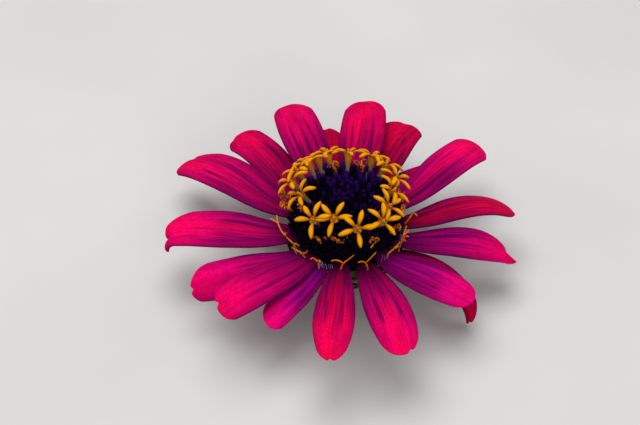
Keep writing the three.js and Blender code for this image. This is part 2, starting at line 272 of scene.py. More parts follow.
def new_material(name, **shader):
    """A material with its Principled shader, whose own sockets are given by name."""
    material = bpy.data.materials.new(name)
    material.use_nodes = True
    principled = material.node_tree.nodes["Principled BSDF"]
    for socket, value in shader.items():
        principled.inputs[socket.replace("_", " ")].default_value = value
    return material, material.node_tree, principled


# %% [markdown]
# ## Ray petals, upper face
# A zinnia's petal is velvety: its cells stand up as tiny cones that scatter light, so it has
# no gloss and keeps a deep colour. It is hot pink at the tip and purple where it leaves the
# disc, and painted shade darkens it towards its sides. Two furrows run from the base and end
# about two thirds of the way along, and the dark in them is painted shade, as the folded cells
# trap light. Streaks and veins run lengthwise and thin out at the tip. All of this follows the
# petal, so it is painted by its UV map. The numbers of its habit make each petal redder, its
# furrows longer, its base more purple, and the whole of it darker or lighter with painted shade
# or light.

# %% Where things are on a petal
def petal_noises(tree, uv, red, length, purple):
    """Streaks, veins, patches of painted shade and mottle, moved by the habit so that petals can
    differ.
    """
    moved = add(tree, "CombineXYZ", {0: red, 1: length, 2: purple}).outputs[0]
    moved = {0: moved, 1: (9, 9, 9), 2: uv}
    moved = add(tree, "VectorMath", moved, operation="MULTIPLY_ADD").outputs[0]

    # noise stretched along the petal, which is 8 by 26 mm: streaks 1 mm wide, veins 0.2 mm
    # wide, patches of painted shade 2 by 7 mm and a mottle of 0.5 mm
    noises = []
    for scale, detail in (((8, 1.4, 1), 4), ((40, 2.4, 1), 3), ((4, 3.5, 1), 3), ((16, 50, 1), 2)):
        laid = add(tree, "Mapping", {0: moved, "Scale": scale}).outputs[0]
        noise = add(tree, "TexNoise", {"Vector": laid, "Scale": 1, "Detail": detail})
        noises.append(noise.outputs["Fac"])
    return noises


def from_midrib(tree, across):
    """Distance from the midrib, 0 to 1."""
    off = add(tree, "Math", {0: across, 1: 0.5}, operation="SUBTRACT").outputs[0]
    off = add(tree, "Math", {0: off}, operation="ABSOLUTE").outputs[0]
    return add(tree, "Math", {0: off, 1: 2.0}, operation="MULTIPLY").outputs[0]


# %% [markdown]
# The ground colour is mixed from two ramps that run from base to tip, one pink and one ruddy.
# The run starts further out where the base is more purple. The most purple petals have a
# violet tinge as well, which fades towards the tip.

# %% Ground colour
def petal_ground(tree, along, swayed, streak, calm, red, purple):
    """The petal's colour before anything dark is laid over it."""
    ragged = add(tree, "MapRange", {0: streak, 1: 0.3, 2: 0.7, 3: -0.16, 4: 0.16}).outputs[0]
    run = add(tree, "Math", {0: along, 1: ragged}, operation="ADD").outputs[0]
    held = add(tree, "MapRange", {0: purple, 3: 0.1, 4: -0.2}).outputs[0]
    run = add(tree, "Math", {0: run, 1: held}, operation="ADD").outputs[0]
    pink = add(tree, "ValToRGB", {0: run}, [
        (0.0, "#34003C"), (0.2, "#A0006A"), (0.4, "#CE007A"), (0.6, "#EC0078"),
        (0.8, "#FA0070"), (1.0, "#EC0062"),
    ]).outputs[0]
    ruddy = add(tree, "ValToRGB", {0: run}, [
        (0.0, "#2C0014"), (0.2, "#9A0026"), (0.4, "#C60036"), (0.6, "#E60042"),
        (0.8, "#F80048"), (1.0, "#EA0042"),
    ]).outputs[0]

    # redder along the midrib and in streaks
    inner = add(tree, "MapRange", {0: swayed, 3: 0.3, 4: -0.2}).outputs[0]
    drawn = add(tree, "MapRange", {0: streak, 1: 0.3, 2: 0.7, 3: -0.5, 4: 0.5}).outputs[0]
    drawn = add(tree, "Math", {0: drawn, 1: calm}, operation="MULTIPLY").outputs[0]
    blush = add(tree, "Math", {0: red, 1: inner}, operation="ADD").outputs[0]
    blush = add(tree, "Math", {0: blush, 1: drawn}, operation="ADD", use_clamp=True).outputs[0]
    body = add(tree, "Mix", {0: blush, 6: pink, 7: ruddy}, data_type="RGBA").outputs[2]
    fading = add(tree, "MapRange", {0: along, 1: 0.5, 2: 0.8, 3: 1.0, 4: 0.3}).outputs[0]
    violet = add(tree, "MapRange", {0: purple, 1: 0.42, 2: 0.8, 4: 0.45}).outputs[0]
    violet = add(tree, "Math", {0: violet, 1: fading}, operation="MULTIPLY").outputs[0]
    tinged = {0: violet, 6: body, 7: linear("#80009C")}
    return add(tree, "Mix", tinged, data_type="RGBA").outputs[2]


# %% [markdown]
# A furrow is painted as a narrow band of shade at one distance from the midrib. It ends where
# the habit says, with an end torn by the veins, and is darkest towards it.

# %% Furrows
FURROW_LINE = 0.42


def petal_furrows(tree, along, swayed, vein, length):
    """How much painted shade lies in a furrow at each place, 0 to 1."""
    near = add(tree, "Math", {0: swayed, 1: FURROW_LINE}, operation="SUBTRACT").outputs[0]
    near = add(tree, "Math", {0: near}, operation="ABSOLUTE").outputs[0]
    furrow_shade = add(tree, "MapRange", {0: near, 1: 0.08, 2: 0.02, 4: 0.85}).outputs[0]
    past = add(tree, "Math", {0: along, 1: length}, operation="SUBTRACT").outputs[0]
    torn = add(tree, "MapRange", {0: vein, 1: 0.3, 2: 0.7, 3: -0.08, 4: 0.08}).outputs[0]
    past = add(tree, "Math", {0: past, 1: torn}, operation="ADD").outputs[0]
    ended = add(tree, "MapRange", {0: past, 1: 0.03, 2: -0.05}, interpolation_type="SMOOTHSTEP")
    furrow_shade = add(tree, "Math", {0: furrow_shade, 1: ended.outputs[0]}, operation="MULTIPLY").outputs[0]
    deeper = add(tree, "MapRange", {0: past, 1: -0.4, 2: -0.08, 3: 0.2, 4: 1.0}).outputs[0]
    return add(tree, "Math", {0: furrow_shade, 1: deeper}, operation="MULTIPLY").outputs[0]


# %% [markdown]
# The velvet is the ground with all that is darker laid over it in turn, much of it painted
# shade: on the sides, in the furrows, in patches and over the whole of the more shaded rays.
# Streaks and veins are calmer towards the tip.

# %% Velvet of the petals
PETAL_RELIEF = 0.12 * MM


def velvet_petal():
    material, tree, shader = new_material(
        "velvet_petal", Roughness=0.85, Specular_IOR_Level=0.03
    )
    uv = add(tree, "UVMap", uv_map="UVMap").outputs["UV"]
    place = add(tree, "SeparateXYZ", {0: uv})
    across, along = place.outputs[0], place.outputs[1]
    red, length, purple, depth = [
        add(tree, "Attribute", attribute_name=name).outputs["Fac"] for name in HABIT
    ]
    streak, vein, patch, mottle = petal_noises(tree, uv, red, length, purple)
    off = from_midrib(tree, across)
    sway = add(tree, "MapRange", {0: streak, 1: 0.3, 2: 0.7, 3: -0.12, 4: 0.12}).outputs[0]
    swayed = add(tree, "Math", {0: off, 1: sway}, operation="ADD").outputs[0]
    calm = add(tree, "MapRange", {0: along, 1: 0.4, 2: 0.8, 3: 1.0, 4: 0.25}).outputs[0]
    body = petal_ground(tree, along, swayed, streak, calm, red, purple)
    furrow_shade = petal_furrows(tree, along, swayed, vein, length)

    # painted shade on the sides, dark streaks, patches of painted shade, veins and mottle, each
    # over the last
    side = add(tree, "MapRange", {0: off, 1: 0.4, 2: 1.05, 4: 0.8}).outputs[0]
    side_shade_fade = add(tree, "MapRange", {0: along, 1: 0.5, 2: 0.9, 3: 1.0, 4: 0.5}).outputs[0]
    side = add(tree, "Math", {0: side, 1: side_shade_fade}, operation="MULTIPLY").outputs[0]
    dark = add(tree, "MapRange", {0: streak, 1: 0.5, 2: 0.36, 4: 0.85}).outputs[0]
    dark = add(tree, "Math", {0: dark, 1: calm}, operation="MULTIPLY").outputs[0]
    shade = add(tree, "MapRange", {0: patch, 1: 0.55, 2: 0.35, 4: 0.35}).outputs[0]
    lines = add(tree, "MapRange", {0: vein, 1: 0.55, 2: 0.36, 4: 0.7}).outputs[0]
    lines = add(tree, "Math", {0: lines, 1: calm}, operation="MULTIPLY").outputs[0]
    spots = add(tree, "MapRange", {0: mottle, 1: 0.55, 2: 0.3, 4: 0.45}).outputs[0]
    for share, code in (
        (side, "#540034"), (furrow_shade, "#38003A"), (dark, "#40003A"), (shade, "#700040"),
        (lines, "#500036"), (spots, "#8C0040"),
    ):
        body = add(tree, "Mix", {0: share, 6: body, 7: linear(code)}, data_type="RGBA").outputs[2]

    # the thin dark rim, and then painted shade or light over the whole petal, as the light
    # falls on it and as other petals shade it
    rim = add(tree, "MapRange", {0: off, 1: 0.88, 2: 1.0, 4: 0.6}).outputs[0]
    body = add(tree, "Mix", {0: rim, 6: body, 7: linear("#48043C")}, data_type="RGBA").outputs[2]
    body = add(tree, "VectorMath", {0: body, 3: depth}, operation="SCALE").outputs[0]
    tree.links.new(body, shader.inputs["Base Color"])

    relief = add(tree, "Bump", {"Strength": 0.35, "Distance": PETAL_RELIEF, "Height": vein})
    tree.links.new(relief.outputs[0], shader.inputs["Normal"])
    return material


# %% [markdown]
# ## Ray petals, underside
# The back of a petal is papery: duller and paler than the velvet, with veins 0.24 mm wide that
# turn greenish towards the base.

# %% Reverse of the petals
def petal_reverse():
    """The back of a petal: papery, duller and paler, with greenish veins towards the base."""
    material, tree, shader = new_material(
        "petal_reverse", Roughness=0.75, Specular_IOR_Level=0.2
    )
    uv = add(tree, "UVMap", uv_map="UVMap").outputs["UV"]
    along = add(tree, "SeparateXYZ", {0: uv}).outputs[1]
    fine = add(tree, "Mapping", {0: uv, "Scale": (34, 1.4, 1)}).outputs[0]
    vein = add(tree, "TexNoise", {"Vector": fine, "Scale": 1, "Detail": 3}).outputs["Fac"]
    ragged = add(tree, "MapRange", {0: vein, 3: -0.14, 4: 0.14}).outputs[0]
    run = add(tree, "Math", {0: along, 1: ragged}, operation="ADD").outputs[0]
    body = add(tree, "ValToRGB", {0: run}, [
        (0.0, "#7E8450"), (0.2, "#A06A62"), (0.45, "#A8345C"), (0.9, "#B01848"),
    ]).outputs[0]
    lined = {0: vein, 6: body, 7: linear("#7A1440")}
    body = add(tree, "Mix", lined, data_type="RGBA").outputs[2]
    tree.links.new(body, shader.inputs["Base Color"])
    relief = add(tree, "Bump", {"Strength": 0.4, "Distance": PETAL_RELIEF, "Height": vein})
    tree.links.new(relief.outputs[0], shader.inputs["Normal"])
    return material


# %% [markdown]
# ## The other surfaces of the bloom
# These follow two plain rules: a grain that wanders between two colours, or a colour that runs
# along a piece. The run can follow a height instead, as on the florets' tubes, which are dark
# where they leave the disc, lilac above it and yellow at the throat. It can also have a darker
# margin of painted shade, which makes the yellow lobes look thick and rolled.

# %% Two kinds of surface
GRAIN_RELIEF = 0.1 * MM


def mottled(name, low, high, grain_mm, roughness, specular=0.25, relief=0.3):
    """A surface that wanders between two colours in patches of a size in millimetres."""
    material, tree, shader = new_material(
        name, Roughness=roughness, Specular_IOR_Level=specular
    )
    spot = add(tree, "TexCoord").outputs["Object"]
    scale = 1 / (grain_mm * MM)
    patch = add(tree, "TexNoise", {"Vector": spot, "Scale": scale, "Detail": 3}).outputs["Fac"]
    body = add(tree, "ValToRGB", {0: patch}, [(0.35, low), (0.65, high)]).outputs[0]
    tree.links.new(body, shader.inputs["Base Color"])
    bump = add(tree, "Bump", {"Strength": relief, "Distance": GRAIN_RELIEF, "Height": patch})
    tree.links.new(bump.outputs[0], shader.inputs["Normal"])
    return material


def graded(name, stops, roughness, specular=0.25, lines=30.0, heights=None, shaded_edge=None):
    """Colour that runs along a piece or between two heights, with fine lines and a painted shade at
    the edge.
    """
    material, tree, shader = new_material(
        name, Roughness=roughness, Specular_IOR_Level=specular
    )
    uv = add(tree, "UVMap", uv_map="UVMap").outputs["UV"]
    along = add(tree, "SeparateXYZ", {0: uv}).outputs[1]
    if heights:
        spot = add(tree, "TexCoord").outputs["Object"]
        height = add(tree, "SeparateXYZ", {0: spot}).outputs[2]
        low, high = heights
        along = add(tree, "MapRange", {0: height, 1: low * MM, 2: high * MM}).outputs[0]
    fine = add(tree, "Mapping", {0: uv, "Scale": (lines, 2, 1)}).outputs[0]
    line = add(tree, "TexNoise", {"Vector": fine, "Scale": 1, "Detail": 2}).outputs["Fac"]
    ragged = add(tree, "MapRange", {0: line, 3: -0.15, 4: 0.15}).outputs[0]
    run = add(tree, "Math", {0: along, 1: ragged}, operation="ADD").outputs[0]
    body = add(tree, "ValToRGB", {0: run}, stops).outputs[0]
    # painted shade along the margin, as on a thick rolled lobe
    if shaded_edge:
        across = add(tree, "SeparateXYZ", {0: uv}).outputs[0]
        off = add(tree, "Math", {0: across, 1: 0.5}, operation="SUBTRACT").outputs[0]
        off = add(tree, "Math", {0: off}, operation="ABSOLUTE").outputs[0]
        edge_shade = add(tree, "MapRange", {0: off, 1: 0.15, 2: 0.5, 4: 0.85}).outputs[0]
        body = add(tree, "Mix", {0: edge_shade, 6: body, 7: linear(shaded_edge)}, data_type="RGBA").outputs[2]
    tree.links.new(body, shader.inputs["Base Color"])
    bump = add(tree, "Bump", {"Strength": 0.3, "Distance": GRAIN_RELIEF, "Height": line})
    tree.links.new(bump.outputs[0], shader.inputs["Normal"])
    return material


# %% [markdown]
# ## Each finish by its name
# Every surface is made once, from what the real one is. The comment above each says what it
# gives the eye.

# %% Petal, chaff, floret, style, bract and stalk
# the hot pink that fills most of the picture
VELVET = velvet_petal()
# the duller side that shows where a tip folds or a petal is seen from below
REVERSE = petal_reverse()
# old scales: almost black, partly their own dark colour and partly painted shade, so that
# the disc reads as a dark hollow between the florets
CHAFF = graded(
    "dry_chaff_scale_and_shade",
    [(0.0, "#030006"), (0.7, "#06010E"), (0.9, "#0A0218"), (1.0, "#140628")],
    0.7,
    specular=0.08,
)
# young scales: violet towards the tip, the glow in the middle of the disc
CHAFF_INNER = graded(
    "chaff_inner_face",
    [(0.0, "#03000C"), (0.6, "#0E0224"), (0.82, "#26044E"), (1.0, "#420A78")],
    0.7,
    specular=0.08,
)
# the skin between the scales, darkest of all: painted shade that fills the gaps between them
CHAFF_BED_SHADE = mottled("chaff_bed_shade", "#020004", "#06010E", 0.6, 0.8, 0.05)
# golden stars with an amber heart and painted shade along the margin, the brightest thing on
# the flower
LOBE = graded(
    "fleshy_yellow_lobe",
    [(0.0, "#8A3A00"), (0.22, "#C06C00"), (0.5, "#E09400"), (0.85, "#E49A00"), (1.0, "#B86A00")],
    0.7,
    specular=0.04,
    lines=7.0,
    shaded_edge="#A25400",
)
# tubes that fade from the dark disc through lilac to the yellow of the stars
TUBE = graded(
    "floret_tube",
    [(0.0, "#1E0818"), (0.4, "#4C2E42"), (0.6, "#7C6470"), (0.8, "#8C6C28"), (1.0, "#C48200")],
    0.6,
    specular=0.1,
    lines=12.0,
    heights=(20, 25),
)
# the deeper orange knob in the middle of each star
ANTHER = mottled("anther_sheath", "#A85A08", "#E89008", 0.3, 0.6)
# dried curls, flecked from rust red to orange
RUST = mottled("withered_floret", "#701404", "#F08A08", 0.6, 0.7, 0.1)
# the clear orange of the forks at the petals' feet
STYLE = mottled("orange_style", "#C85400", "#F08C04", 0.8, 0.6, 0.1)
# leaf green with a dry dark tip, which draws each row's scalloped edge
BRACT = graded(
    "green_bract",
    [(0.0, "#4C6A2A"), (0.5, "#56762E"), (0.84, "#4C6A2A"), (0.92, "#2A2016"), (1.0, "#160E0C")],
    0.55,
)
# a little lighter than the bracts, fibrous
STALK = mottled("ribbed_stalk", "#4E6E2C", "#6E8A3E", 0.9, 0.6)
# the pale fresh cut
PITH = mottled("cut_pith", "#C8CE9A", "#E2E4BE", 0.4, 0.8)
# dull brown, glimpsed between the claws
FRUIT = mottled("young_fruit", "#2C2A1C", "#4A4630", 0.7, 0.7)
# faint lavender glints on the dark flank of the disc
HAIR = mottled("lavender_hair", "#6A5EA4", "#BDB4E4", 0.9, 0.6, 0.1)
print(len(bpy.data.materials), "materials")

# %% [markdown]
# ## The rays as they grew
# Every ray follows one rule and differs in how long and wide it is, how steeply it leaves the
# disc, how far it droops, and how it turns, bends and twists on its way out. `tone_and_shade`
# holds how red it is, how far its furrows run, how purple its base is, and how much painted
# shade or light lies over the whole of it. `teeth` are the notches of its tip, as (place
# across, depth and half width in millimetres).

# %% Ray sizes
RAY_ROOT_RADIUS = 9.8
RAY_LAYER_HEIGHTS = (15.1, 14.1, 13.25)
RAY_CLAW = 0.36
RAY_SHOULDER = 0.68
RAY_ACROSS = 36
RAY_ALONG = 72
RAY_THICKNESS = 0.32
FURROW = {"at": 0.36, "half": 0.1, "depth": 0.2}
MARGIN_WAVE = 0.16
TYPICAL_RAY = {
    "length": 26, "width": 8.4, "rise": 8, "droop": 16, "turn": 0, "bend": 0, "twist": 0,
    "blunt": 0.85, "skew": 0, "camber": 0.9, "curl": 0, "crease": 0.82, "layer": 0,
    "tone_and_shade": (0.35, 0.66, 0.4, 1), "teeth": ((0.1, 0.45, 0.9),),
}
RAYS = (
    {"seat": 111, "length": 29, "width": 9.2, "rise": 16, "droop": 38, "turn": -2, "bend": -9,
     "twist": -3, "blunt": 0.9, "camber": 0.5, "tone_and_shade": (0.35, 0.72, 0.35, 0.88),
     "teeth": ((0.3, 0.25, 1.2),)},
    {"seat": 97, "length": 20.8, "width": 9, "rise": 5, "droop": 12, "blunt": 0.8, "layer": 1,
     "tone_and_shade": (1, 0.6, 0.3, 0.62)},
    {"seat": 81, "length": 26.3, "width": 9.5, "rise": 16, "droop": 27, "bend": 6.5, "twist": -5,
     "blunt": 0.91, "camber": 0.6, "tone_and_shade": (0.65, 0.66, 0.25, 0.86), "teeth": ((0.05, 0.3, 1.3),)},
    {"seat": 67, "length": 26, "width": 9.2, "rise": 8, "droop": 25, "turn": 5.5, "bend": -11.5,
     "twist": 2, "blunt": 0.95, "skew": -0.5, "camber": 0.5, "layer": 1,
     "tone_and_shade": (1, 0.78, 0.3, 0.7)},
    {"seat": 31, "length": 31.4, "width": 7.8, "rise": 10.5, "droop": 42, "turn": 20,
     "bend": 3.5, "twist": 17, "blunt": 0.95, "skew": -0.8, "camber": 0.6,
     "tone_and_shade": (0.35, 0.8, 0.4, 1), "teeth": ((-0.25, 0.2, 1.0),)},
    {"seat": 5, "length": 29, "width": 6.9, "rise": 11, "droop": 59, "turn": 24, "bend": -13,
     "twist": -7, "blunt": 0.85, "skew": 0.3, "camber": 0.4, "tone_and_shade": (0.8, 0.8, 0.35, 0.76)},
    {"seat": -14, "length": 28, "width": 7.4, "droop": 60, "turn": 19, "bend": 4, "twist": 19,
     "blunt": 0.76, "skew": 0.6, "camber": 0.4, "curl": 47, "crease": 0.79, "layer": 1,
     "tone_and_shade": (0.35, 0.7, 0.6, 0.9), "teeth": ((0.25, 1.2, 0.7),)},
    {"seat": -46, "length": 21.2, "width": 8.6, "rise": 2, "droop": 26, "turn": 22, "bend": 1,
     "twist": 3, "tone_and_shade": (0.1, 0.68, 0.7, 0.98), "teeth": ()},
    {"seat": -69, "length": 25.4, "width": 8.9, "rise": 5.5, "droop": 7, "turn": -1.5,
     "bend": -11.5, "twist": 7, "blunt": 0.82, "camber": 0.7, "layer": 1,
     "tone_and_shade": (0.45, 0.66, 0.45, 1), "teeth": ((0.42, 0.6, 0.5),)},
    {"seat": -96, "length": 27.5, "width": 8.1, "rise": 6, "droop": 1, "bend": 3.5, "twist": 5,
     "blunt": 0.76, "skew": 0.4, "camber": 1.4, "tone_and_shade": (0.75, 0.66, 0.35, 1),
     "teeth": ((0.02, 0.6, 0.5),)},
    {"seat": -117, "length": 18.4, "width": 6.7, "rise": 1, "droop": 17.5, "turn": -13,
     "bend": -1, "twist": -5, "blunt": 0.88, "skew": 1, "camber": 0.65, "layer": 1,
     "tone_and_shade": (0.2, 0.6, 0.8, 1), "teeth": ()},
    {"seat": -130, "length": 25.3, "width": 8.1, "rise": 9, "droop": 5, "turn": -15, "bend": 18,
     "twist": -28, "blunt": 0.87, "skew": 1, "camber": 1.2, "tone_and_shade": (0.35, 0.62, 0.5, 1),
     "teeth": ((-0.3, 0.8, 0.5),)},
    {"seat": -144, "length": 24, "rise": -0.5, "droop": 4.5, "turn": -17, "bend": -10.5,
     "twist": -34, "blunt": 0.9, "skew": 1.3, "camber": 1.4, "layer": 1,
     "tone_and_shade": (0.1, 0.6, 0.5, 1), "teeth": ((0.35, 0.5, 0.5),)},
    {"seat": -171, "length": 27.4, "width": 10.3, "rise": 5, "droop": 23.5, "turn": -20.5,
     "bend": 1.5, "twist": 2, "blunt": 0.97, "skew": 2.2, "camber": 0.4, "curl": 65,
     "crease": 0.85, "tone_and_shade": (0.4, 0.62, 0.45, 1.02), "teeth": ((0.4, 0.8, 0.6),)},
    {"seat": 156, "length": 34.6, "width": 9.4, "rise": 3, "droop": 36, "turn": -26, "bend": 7,
     "twist": -9, "blunt": 0.9, "skew": 3, "camber": 0.4, "tone_and_shade": (0.35, 0.75, 0.4, 0.9),
     "teeth": ((-0.2, 0.9, 0.6),)},
    {"seat": 133, "length": 29.4, "width": 7.9, "rise": 5.5, "droop": 27.5, "turn": -18,
     "bend": 17, "twist": -12, "blunt": 0.95, "skew": 0.6, "camber": 0.4, "layer": 1,
     "tone_and_shade": (0.6, 0.72, 0.4, 0.82), "teeth": ((0.4, 0.4, 0.7),)},
    {"seat": -26, "length": 24.8, "width": 4.6, "rise": 4, "droop": 94, "turn": -4, "bend": -12,
     "twist": 95, "blunt": 0.85, "skew": -1.4, "camber": 1.8, "layer": 2,
     "tone_and_shade": (1, 0.6, 0.3, 0.62), "teeth": ((0.1, 0.8, 0.4),)},
    {"seat": 48, "length": 18, "width": 8, "rise": 2, "droop": 10, "blunt": 0.7, "layer": 2,
     "tone_and_shade": (0.6, 0.7, 0.6, 0.7)},
)
print(len(RAYS), "rays")


# %% [markdown]
# ## A ray's blade
# The blade is walked from its root to its tip along lines at the same share of its width. The
# heading and the slope change on the way, and each line is laid beside the middle one. Furrows
# and a slight wave of the margin are pressed into the same sheet, which then gets its
# thickness on the underside and the rest of its material there. What is left to chance, here
# and in all that follows, comes from one seeded source, so every run draws the same numbers.

# %% Lay a petal
chance = random.Random(11)


def half_width(ray, u):
    growing = RAY_CLAW + (1 - RAY_CLAW) * math.sin(math.pi / 2 * min(1, u / RAY_SHOULDER)) ** 0.9
    past = max(0, (u - RAY_SHOULDER) / (1 - RAY_SHOULDER))
    return ray["width"] / 2 * (growing - (1 - ray["blunt"]) * past**2)


def reach(ray, s):
    """How far the petal reaches at s, less the notches between its teeth."""
    rounding = (0.03 + 0.42 * (1 - ray["blunt"])) * s**2 + 0.045 * s**6
    half = ray["width"] / 2
    notch = sum(d * math.exp(-(((s - at) * half / w) ** 2)) for at, d, w in ray["teeth"])
    return ray["length"] * (1 - rounding) + ray["skew"] * s - notch


def petal_line(ray, s, wave):
    """The points of one line of the upper face, from root to tip."""
    total = reach(ray, s)
    steps = RAY_ALONG * 2
    centre = around(RAY_ROOT_RADIUS, ray["seat"], RAY_LAYER_HEIGHTS[ray["layer"]])
    fold = ray["curl"] * smooth(s, -0.2, 0.5)
    line = []
    for step in range(steps + 1):
        u = step / steps
        t = u * total / ray["length"]
        folded = fold * smooth(u, ray["crease"], 1)
        slope = math.radians(ray["rise"] - ray["droop"] * t**1.5 - folded)
        way = math.radians(ray["seat"] + ray["turn"] * smooth(t, 0, 0.4) + ray["bend"] * t * t)
        flat = math.cos(slope)
        ahead = Vector((flat * math.cos(way), flat * math.sin(way), math.sin(slope)))
        if step % 2 == 0:
            left = Vector((-math.sin(way), math.cos(way), 0))
            up = ahead.cross(left)
            roll = math.radians(ray["twist"]) * t
            out = s * half_width(ray, u)
            pressed = math.exp(-(((abs(s) - FURROW["at"]) / FURROW["half"]) ** 2))
            pressed *= FURROW["depth"] * (1 - smooth(u, 0.5, 0.8))
            ripple = MARGIN_WAVE * abs(s) ** 3 * t * math.sin(9 * t + wave + 2 * s)
            arch = -ray["camber"] * s * s * min(1, 0.3 + t) - pressed + ripple
            side = out * math.cos(roll) - arch * math.sin(roll)
            lift = out * math.sin(roll) + arch * math.cos(roll)
            line.append(centre + left * side + up * lift)
        centre = centre + ahead * (total / steps)
    return line


def petal(ray, name):
    wave = chance.uniform(0, 6)
    lines = [petal_line(ray, 1 - 2 * i / RAY_ACROSS, wave) for i in range(RAY_ACROSS + 1)]
    piece = sheet(
        name,
        RAY_ACROSS,
        RAY_ALONG,
        lambda s, t: lines[round((1 - s) / 2 * RAY_ACROSS)][round(t * RAY_ALONG)],
    )
    piece.data.materials.append(VELVET)
    piece.data.materials.append(REVERSE)
    modify(piece, "SOLIDIFY", thickness=RAY_THICKNESS, offset=-1, material_offset=1)
    habit(piece, *ray["tone_and_shade"])
    return piece


# %% [markdown]
# ## Styles and young fruits
# A zinnia's ray floret is female: a forked orange style stands at its foot, and its young
# fruit sits below on the receptacle. Where a fork can be seen among the petals, its path is
# given as (angle, distance, height). The others follow one plain fork.

# %% Forks at the feet of the rays
STYLE_WIDTH = 0.35
STYLE_TAPER = 0.35
STYLE_FOOT_RADIUS = 11.7
STYLE_SUNK = 0.1
SEEN_FORKS = {
    8: (((-47, 12.0, 15.4), (-49, 12.2, 16.8), (-40, 12.3, 17.1), (-31, 12.4, 17.3)),
        ((-40, 12.3, 17.1), (-41, 12.8, 17.6), (-38, 13.0, 17.9))),
    7: (((-16, 12.0, 15.0), (-30, 12.4, 17.1), (-25, 12.5, 18.3), (-19, 12.6, 19.6)),
        ((-25, 12.5, 18.3), (-22, 12.9, 18.2), (-20, 13.2, 18.8))),
    6: (((3, 12.0, 15.6), (2, 12.8, 17.2), (5, 13.6, 18.4), (0, 14.2, 18.2)),),
    9: (((-69, 12.0, 15.2), (-72, 12.0, 16.8), (-67, 12.0, 17.5), (-61, 12.0, 18.8)),
        ((-72, 12.0, 16.8), (-75, 12.0, 17.6), (-79, 12.0, 17.2))),
    10: (((-95, 12.0, 15.8), (-93, 12.0, 17.2), (-88, 12.0, 18.3), (-83, 12.0, 19.4)),
         ((-93, 12.0, 17.2), (-98, 12.0, 18.4), (-104, 12.0, 17.5))),
    12: (((-133, 12.0, 15.6), (-135, 12.2, 16.5), (-130, 12.1, 17.2), (-129, 12.0, 18.0)),
         ((-135, 12.2, 16.5), (-142, 12.3, 16.3), (-149, 12.5, 15.9))),
    13: (((-146, 12.0, 15.0), (-148, 12.2, 17.0), (-144, 12.0, 17.5), (-140, 12.0, 17.7)),
         ((-148, 12.2, 17.0), (-156, 12.8, 17.5))),
    14: (((-171, 12.4, 15.6), (-156, 12.8, 17.5), (-164, 13.3, 17.7), (-173, 13.6, 17.9),
          (-180, 13.7, 18.4)),
         ((-173, 13.6, 17.9), (-176, 14.4, 18.2), (-178, 15.0, 18.0))),
}


def plain_fork(ray):
    """A stalk and two even arms, which spread less where the ray lies in a lower layer."""
    seat, spread = ray["seat"], 8 / (1 + ray["layer"])
    foot, crotch = RAY_LAYER_HEIGHTS[ray["layer"]], (seat, 12.4, 16.8)
    stalk = ((seat, 11.6, foot), (seat, 12.1, 16.0), crotch)
    arms = []
    for side in (-1, 1):
        out = side * spread
        bowed = ((seat + out * 0.6, 12.6, 17.5), (seat + out, 13.0, 17.9))
        arms.append((crotch, *bowed, (seat + out * 1.1, 13.4, 17.7)))
    return (stalk, *arms)


def fork(number, ray, name):
    """A style whose foot is sunk in the claw of its own petal."""
    stalk, *arms = SEEN_FORKS.get(number, plain_fork(ray))
    foot = (stalk[0][0], STYLE_FOOT_RADIUS, RAY_LAYER_HEIGHTS[ray["layer"]] - STYLE_SUNK)
    paths = []
    for path in ((foot, *stalk), *arms):
        last = len(path) - 1
        paths.append([
            (around(radius, angle, height), STYLE_WIDTH * (1 - STYLE_TAPER * i / last))
            for i, (angle, radius, height) in enumerate(path)
        ])
    return threads(name, paths, STYLE)


def fruit(ray, name):
    """The young fruit: a plump body that rises from the receptacle into the petal's claw."""
    seat, top = ray["seat"], RAY_LAYER_HEIGHTS[ray["layer"]]
    path = [
        (around(9.4, seat, 12.2), 1.2),
        (around(9.9, seat, 12.6), 2.2),
        (around(10.4, seat, (12.4 + top) / 2), 2.5),
        (around(10.7, seat, top - 0.5), 1.6),
        (around(11.2, seat, top - 0.3), 0.8),
    ]
    return threads(name, [path], FRUIT, roundness=2)


# %% [markdown]
# ## Eighteen rays
# Each line of the table is now made into a blade, a fork and a fruit. They are joined into
# one piece, which stands in for one node.

# %% Make the rays
for number, habitus in enumerate(RAYS, 1):
    ray = {**TYPICAL_RAY, **habitus}
    node = f"ray_floret_{number:02d}"
    parts = [petal(ray, "blade"), fork(number, ray, "fork"), fruit(ray, "fruit")]
    whole = joined(f"ray_petal_{number:02d}", parts)
    settle(whole, "ray", node)

# %% [markdown]
# ## Neck and bract cup
# Below the head, the stalk swells into a green cup wrapped in rows of broad bracts that
# overlap like tiles, each with a dry dark edge. The cup is raised from a disc, ribbed like a
# stalk, and its underside is inset to show the pith of the cut. A bract is a sheet laid on
# the cup's flank, wider than tall and rounded at its tip.

# %% Cup and bracts
CUP_FLANK = (
    (3.9, 0), (3.7, 1.2), (3.9, 3.2), (6.2, 5), (8.4, 7.1), (9.8, 9.1), (10.6, 11.6), (9.9, 12.0),
)
NECK_HEIGHT = 3.2
NECK_SKIN = 0.7
RIBS = {"count": 10, "height": 0.09, "fade": 1.5}
BRACT_ROWS = (
    {"count": 8, "foot": 2.6, "reach": 4.2, "width": 5.2},
    {"count": 10, "foot": 4.0, "reach": 4.6, "width": 6.2},
    {"count": 12, "foot": 5.6, "reach": 5.0, "width": 6.6},
    {"count": 16, "foot": 7.6, "reach": 5.0, "width": 5.6},
)
BRACT_THICKNESS = 0.36


